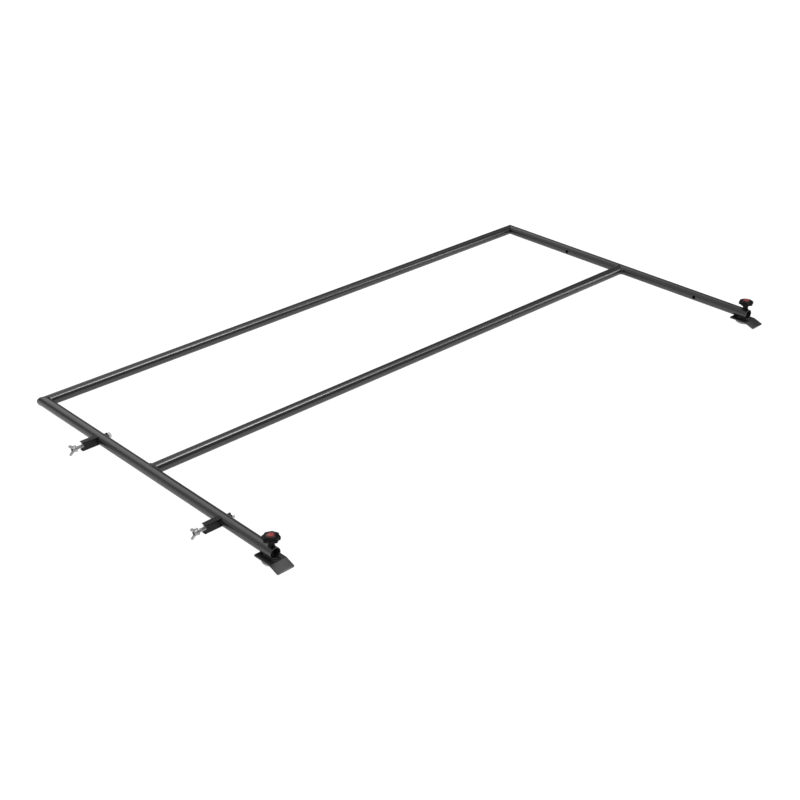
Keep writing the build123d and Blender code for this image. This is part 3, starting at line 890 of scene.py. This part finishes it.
def star(inset=0.0):
    """The knob's outline: eight lobes blended into a round web."""
    lobes, lobe_r, orbit, web, blend = 8, 4.6, 15.1, 17.3, 0.9
    sector = math.tau / lobes
    within = (turn_angles(ROUND * 2) + sector / 2) % sector - sector / 2
    reach = np.maximum(lobe_r**2 - (orbit * np.sin(within)) ** 2, 0)
    lobe = np.where(reach > 0, orbit * np.cos(within) + np.sqrt(reach), 0)
    near = np.clip(0.5 + (lobe - web) / (2 * blend), 0, 1)
    return lobe * near + web * (1 - near) + blend * near * (1 - near) * 0.35 - inset


def knob_dome(radius):
    """The height of the knob's domed top at a distance from its axis."""
    rise = KNOB_HEAD_TOP - KNOB_RIM_TOP
    ball = (KNOB_R**2 + rise**2) / (2 * rise)
    return KNOB_HEAD_TOP - ball + np.sqrt(ball**2 - np.asarray(radius) ** 2)


def knob_mesh():
    """The star knob: a domed, lobed head with rounded edges on a tapered, collared hub."""
    rows, wear_and_shade = [], []

    def ring(radius, z, wear=0.0):
        rows.append(loop(radius, z, ROUND * 2))
        wear_and_shade.append(wear)

    base, bore_r = KNOB_BASE, 4.5
    collar = ((bore_r, base, 0), (7.2, base, 0.5), (7.3, base + 1.6, 0.3), (6.9, base + 2.1, 0.3))
    taper = ((8.2, KNOB_HEAD_BASE - 0.8, 1.2), (11.0, KNOB_HEAD_BASE, 0))
    for radius, z in rounded((*collar, *taper)):
        ring(radius, z)
    lower, upper = 1.4, 1.8
    for inset, lift in quarter(lower, 6):
        ring(star(inset), KNOB_HEAD_BASE + lift, 0.5)
    for drop, inset in quarter(upper, 8):
        outline = star(inset)
        ring(outline, knob_dome(outline) - drop, 1.0)
    groove, mouth = CAP_R + 1.9, CAP_R + 0.06
    for share in (0.2, 0.45, 0.7, 0.9):
        radius = star(upper) * (1 - share) + groove * share
        ring(radius, knob_dome(radius), 0.2)
    for step, sink in ((0.0, 0.0), (0.25, 0.3), (0.6, 0.3), (0.9, 0.0)):
        ring(groove - step, knob_dome(groove - step) - sink, 0.2)
    for step, sink in ((0.35, 0.0), (0.1, 0.1), (0.0, 0.35)):
        ring(mouth + step, knob_dome(mouth + step) - sink, 0.4)
    ring(mouth, CAP_SEAT)
    ring(bore_r, CAP_SEAT)
    return skin(rows, wrap=True, wear_and_shade=wear_and_shade)


def cap_mesh():
    """The domed cap: a round centre inside a fine groove, marked by the vertex layer for its
    brighter red, partly a painted highlight.
    """
    ball = (CAP_R**2 + CAP_RISE**2) / (2 * CAP_RISE)
    centre = CAP_RIM + CAP_RISE - ball

    def dome(*radii, sink=0.0):
        return [(r, centre - sink + math.sqrt(ball**2 - r * r), 0) for r in radii]

    line = [(0, CAP_SEAT, 0), (CAP_R, CAP_SEAT, 0), (CAP_R, CAP_RIM + 0.2, 0.25)]
    line += dome(10.0, 9.4, 8.7, 7.9, 7.1)
    line += dome(6.75, sink=0.14) + dome(6.55, sink=0.22) + dome(6.3, sink=0.14)
    line += dome(6.05, 5.4, 4.4, 3.3, 2.2, 1.1, 0.0)
    profile = rounded(line, steps=5)
    rows = [loop(r, z) for r, z in profile]
    # The centre inside the groove is marked for the brighter red, partly a painted highlight.
    marks = [1.0 if z > CAP_RIM and r < CAP_CENTRE_R else 0.0 for r, z in profile]
    return skin(rows, wrap=False, caps=False, wear_and_shade=marks)


def build_clamps():
    block = rounded_rectangle(SADDLE_HALF_WIDTH, SADDLE_HALF_LENGTH, SADDLE_CORNER)
    low, high = KNOB_BASE + 0.1, KNOB_BASE + BUSH_LENGTH
    bush = ((BORE_R, low, 0.3), (BUSH_R, low, 0.2), (BUSH_R, high, 0.2), (BORE_R, high, 0.3))
    for side in SIDES:
        cradle = cradle_mesh(block, FOOT_TOP + FIT_GAP, 0.5, below=True)
        seat = cradle_mesh(np.full(ROUND, KNOB_SEAT_R), KNOB_SEAT, 0.3, below=False)
        for name, mesh, body, slot, node in (
            ("foot", foot_mesh(), f"foot_{side}", "foot_plate", "foot_plate"),
            ("cradle", cradle, "root", "saddle", "foot_saddle"),
            ("jaw_disc", disc_mesh(), f"jaw_{side}", "clamp_disc", "clamp_disc"),
            ("coach_bolt", clamp_bolt_mesh(), f"jaw_{side}", "clamp_bolt", "clamp_bolt"),
            ("knob_seat", seat, "root", "knob_washer", "knob_washer"),
            ("star_knob", knob_mesh(), f"knob_{side}", "knob", "knob"),
            ("knob_bush", lathe(bush), f"knob_{side}", "insert", "knob_insert"),
            ("cap", cap_mesh(), f"knob_{side}", "cap", "knob_cap"),
        ):
            piece(f"{name}_{side}", mesh, at_clamp(side), body, slot, f"{node}_{side}")


# ---- Standoffs and stud clamps -----------------------------------------------------------
def standoff_mesh():
    """A block with rounded corners: saddled to the rail, and saddled again at its outer end."""
    outer = rounded_rectangle(STANDOFF_HALF_WIDTH, STANDOFF_HALF_HEIGHT, STANDOFF_CORNER)
    outer_axis = STANDOFF_REACH + math.sqrt(TUBE_R**2 - STANDOFF_HALF_HEIGHT**2)
    heights = np.sin(turn_angles())
    lip, bore_r = 0.6, STUD_HOLE_R
    rows, wear_and_shade = [], []

    def ring(radius, z, wear=0.0):
        rows.append(loop(radius, z))
        wear_and_shade.append(wear)

    def cope(radius):
        return outer_axis - np.sqrt(TUBE_R**2 - (radius * heights) ** 2)

    for share in (0.0, 0.3, 0.6, 0.85, 1.0):
        radius = bore_r + (outer - 0.3 - bore_r) * share
        ring(radius, saddle(radius * heights))
    ring(outer, saddle(outer * heights) + 0.35)
    ring(outer, 24.0)
    ring(outer, 38.0)
    for drop, inset in quarter(lip, 5):
        ring(outer - inset, cope(outer - inset) - drop, 1.0)
    for share in (0.92, 0.8, 0.65, 0.5, 0.35, 0.2, 0.08):
        radius = bore_r + (outer - lip - bore_r) * share
        ring(radius, cope(radius), 0.2)
    ring(bore_r + 0.3, cope(bore_r + 0.3), 0.6)
    ring(bore_r, cope(bore_r) - 0.3)
    return skin(rows, wrap=True, wear_and_shade=wear_and_shade)


def pad_mesh():
    """The round pad on the rail's inner side: flat towards the nut, hollowed towards the tube."""
    sideways, face, bore_r = np.sin(turn_angles()), -PAD_FACE, STUD_HOLE_R

    def on_tube(r):
        return -saddle(r * sideways)

    rows = [
        loop(bore_r, on_tube(bore_r)), loop(PAD_R - 0.2, on_tube(PAD_R - 0.2)),
        loop(PAD_R, on_tube(PAD_R) - 0.3), loop(PAD_R, face + 0.6), loop(PAD_R - 0.2, face + 0.2),
        loop(PAD_R - 0.7, face), loop(bore_r + 0.3, face), loop(bore_r, face + 0.3),
    ]
    return skin(rows)


def build_studs():
    inner_face = -PAD_FACE - WASHER_THICKNESS
    for end in PLACES:
        place = at_stud(end)
        wing_seat = place @ Matrix.Translation((0, 0, WING_FACE))
        rod = thread_mesh(*STUD_ENDS, STUD_R, STUD_PITCH, columns=40)
        washer_body, wing_body = f"outer_washer_{end}", f"wing_nut_{end}"
        for name, mesh, seat, body, slot, node in (
            ("spacer", standoff_mesh(), place, "root", "standoff", "standoff"),
            ("threaded_rod", rod, place, "root", "stud", "stud"),
            ("washer", washer_mesh(WASHER_FACE), place, washer_body, "washer", "outer_washer"),
            ("wings", wing_nut_mesh(), wing_seat, wing_body, "wing_nut", "wing_nut"),
            ("pad", pad_mesh(), place, "root", "pad", "inner_pad"),
            ("small_washer", washer_mesh(inner_face), place, "root", "washer", "inner_washer"),
            ("hex_nut", nut_mesh(inner_face - NUT_HEIGHT), place, "root", "nut", "inner_nut"),
        ):
            piece(f"{name}_{end}", mesh, seat, body, slot, f"{node}_{end}")


# ---- Floor, light and camera -------------------------------------------------------------
def build_floor():
    """A pale studio floor that fills every view. It lies just under the open jaws."""
    half_width, cells, shown_white, glow = 30.0, 24, 0.85, 1.1
    bm = bmesh.new()
    bmesh.ops.create_grid(bm, x_segments=cells, y_segments=cells, size=half_width)
    mesh = bpy.data.meshes.new("floor")
    bm.to_mesh(mesh)
    bm.free()
    finish = Finish("floor_paper")
    tone = finish.ramp(finish.noise(0.8, 3), (0.3, 0.93), (0.7, 0.96))
    rough = finish.ramp(finish.noise(3, 2), (0.3, 0.85), (0.7, 0.95))
    paper = finish.surface(tone, rough)
    light = finish.node("Emission", Strength=glow).outputs[0]
    seen = finish.node("LightPath").outputs["Is Camera Ray"]
    share = finish.maths("MULTIPLY", seen, shown_white)
    shown = finish.blend(share, finish.shader.outputs[0], light)
    finish.link(shown, finish.tree.nodes["Material Output"].inputs["Surface"])
    paper.cycles.emission_sampling = "NONE"
    mesh.materials.append(paper)
    floor = bpy.data.objects.new("floor", mesh)
    floor.location.z = cad_bounds[0][2] - (JAW_TRAVEL + 0.5) * MM
    bpy.context.scene.collection.objects.link(floor)
    floor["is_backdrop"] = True


class Sky(Nodes):
    """Soft studio light as a world: broad lamps round a dim room, on a white backdrop."""

    def __init__(self):
        world = bpy.data.worlds.new("studio")
        bpy.context.scene.world = world
        world.use_nodes = True
        super().__init__(world.node_tree)
        self.direction = self.node("TexCoord").outputs["Generated"]

    def towards(self, vector):
        """The cosine of the angle to a direction."""
        node = self.node("VectorMath")
        node.operation = "DOT_PRODUCT"
        self.link(self.direction, node.inputs[0])
        self.link(vector, node.inputs[1])
        return node.outputs["Value"]

    def step(self, value, start, end, low, high):
        """A smooth step from low to high as a value goes from start to end."""
        ranges = {"From_Min": start, "From_Max": end, "To_Min": low, "To_Max": high}
        node = self.node("MapRange", Value=value, **ranges)
        node.interpolation_type = "SMOOTHSTEP"
        return node.outputs["Result"]

    def lamp(self, azimuth, elevation, half_angle, softness, power):
        """A round lamp in the sky. Azimuth is in degrees from +X towards +Y."""
        a, e = math.radians(azimuth), math.radians(elevation)
        vector = (math.cos(e) * math.cos(a), math.cos(e) * math.sin(a), math.sin(e))
        outer = math.cos(math.radians(half_angle + softness))
        inner = math.cos(math.radians(max(half_angle - softness, 0)))
        return self.step(self.towards(vector), outer, inner, 0, power)

    def light(self, fill, backdrop, lamps):
        """The lamps give the gloss, an even dome the soft fill, and the camera sees white."""
        total = lamps[0]
        for lamp in lamps[1:]:
            total = self.maths("ADD", total, lamp)
        path = self.node("LightPath")
        glow = self.tree.nodes["Background"]
        self.link(total, glow.inputs["Strength"])
        glow.inputs["Color"].default_value = (1, 1, 1, 1)
        shown = glow.outputs[0]
        for ray, strength in (("Is Diffuse Ray", fill), ("Is Camera Ray", backdrop)):
            even = self.node("Background", Strength=strength)
            shown = self.blend(path.outputs[ray], shown, even.outputs[0])
        self.link(shown, self.tree.nodes["World Output"].inputs["Surface"])
        bpy.context.scene.world.cycles.sampling_method = "NONE"


def build_light():
    sky = Sky()
    room = sky.step(sky.towards((0, 0, 1)), 0.5, 0.7, 0.15, 0.2)
    over = sky.lamp(azimuth=8, elevation=72, half_angle=22, softness=8, power=1.0)
    back = sky.lamp(azimuth=85, elevation=37, half_angle=23, softness=9, power=1.35)
    side = sky.lamp(azimuth=138, elevation=38, half_angle=12, softness=9, power=0.6)
    low = sky.lamp(azimuth=143, elevation=6, half_angle=18, softness=9, power=0.5)
    sky.light(fill=1.5, backdrop=1.3, lamps=(room, over, back, side, low))
    strip_lamp(start=(1.35, 3.0), end=(2.3, 2.3), width=0.5, radiance=20.0)
    strip_lamp(start=(2.3, 2.2), end=(2.85, 0.2), width=0.3, radiance=5.6)


def strip_lamp(start, end, width, radiance):
    """A narrow soft box in an upright plane in front of the rack, between (x, height) points."""
    corner = Vector((RAIL_X["left"], REAR_Y, AXIS_Z))
    plane = corner - Vector((0, 1.47, 0))
    first = plane + Vector((start[0], 0, start[1]))
    last = plane + Vector((end[0], 0, end[1]))
    run = last - first
    data = bpy.data.lights.new("strip", "AREA")
    data.shape, data.size, data.size_y = "RECTANGLE", run.length, width
    data.energy = radiance * math.pi * run.length * width
    lamp = bpy.data.objects.new("strip", data)
    lamp.location = (first + last) / 2
    facing = corner + Vector((0.75, -0.2, 0)) - lamp.location
    x_axis = run.normalized()
    z_axis = -(facing - x_axis * facing.dot(x_axis)).normalized()
    axes = Matrix((x_axis, z_axis.cross(x_axis), z_axis)).transposed()
    lamp.rotation_euler = axes.to_euler()
    lamp.visible_camera = lamp.visible_diffuse = False
    bpy.context.scene.collection.objects.link(lamp)


def build_camera():
    """The photograph's viewpoint: from the left, in front and above."""
    azimuth, elevation, distance = math.radians(43.507), math.radians(28.31), 3.305
    lens, sensor_width = 62.0, 36.0
    aim = Vector((RAIL_X["left"] + 0.6210, REAR_Y - 0.5805, AXIS_Z + 0.0016))
    level = math.cos(elevation)
    forward = (math.sin(azimuth) * level, math.cos(azimuth) * level, -math.sin(elevation))
    forward = Vector(forward)
    data = bpy.data.cameras.new("camera")
    data.lens, data.sensor_width, data.clip_end = lens, sensor_width, 200
    camera = bpy.data.objects.new("camera", data)
    camera.location = aim - forward * distance
    camera.rotation_euler = forward.to_track_quat("-Z", "Y").to_euler()
    bpy.context.scene.collection.objects.link(camera)
    bpy.context.scene.camera = camera


build_frame()
build_clamps()
build_studs()
build_floor()
build_light()
build_camera()
bpy.context.scene.view_settings.view_transform = "Standard"

visual_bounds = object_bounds()
sizes = {"cad": cad_bounds, "visual": visual_bounds}
{name: [list(map(float, corner)) for corner in box] for name, box in sizes.items()}
